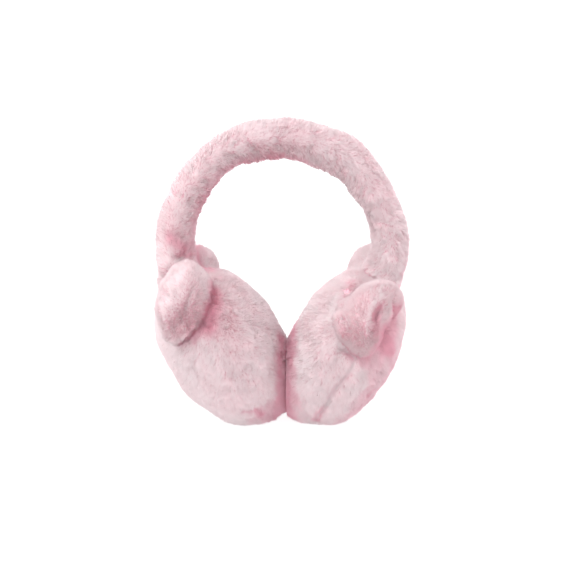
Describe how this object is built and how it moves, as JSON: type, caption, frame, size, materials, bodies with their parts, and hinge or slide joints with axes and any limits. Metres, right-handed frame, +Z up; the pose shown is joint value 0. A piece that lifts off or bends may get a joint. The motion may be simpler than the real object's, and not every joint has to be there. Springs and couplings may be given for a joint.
{
  "type": "plush earmuffs",
  "caption": "Plush earmuffs with a padded headband arching between thick stuffed ear pads, and small cupped ears sewn into the pads' rim seams.",
  "frame": {"origin": "middle of the bounding box's base, on the surface the two pads stand on", "axes": "+Z up towards the top of the headband's arch, +X to the right as seen from the front, +Y to the back"},
  "size_m": [0.1752, 0.128, 0.2069],
  "materials": {
    "plush_band": "short pale pink plush pile",
    "plush_outer": "short pale pink plush pile",
    "plush_inner": "short pale pink plush pile",
    "plush_ear": "short pale pink plush pile"
  },
  "bodies": {
    "root": {"headband": "plush_band", "left_pad_outer": "plush_outer", "left_pad_inner": "plush_inner", "right_pad_outer": "plush_outer", "right_pad_inner": "plush_inner", "left_front_ear": "plush_ear", "left_back_ear": "plush_ear", "right_front_ear": "plush_ear", "right_back_ear": "plush_ear"}
  },
  "joints": []
}
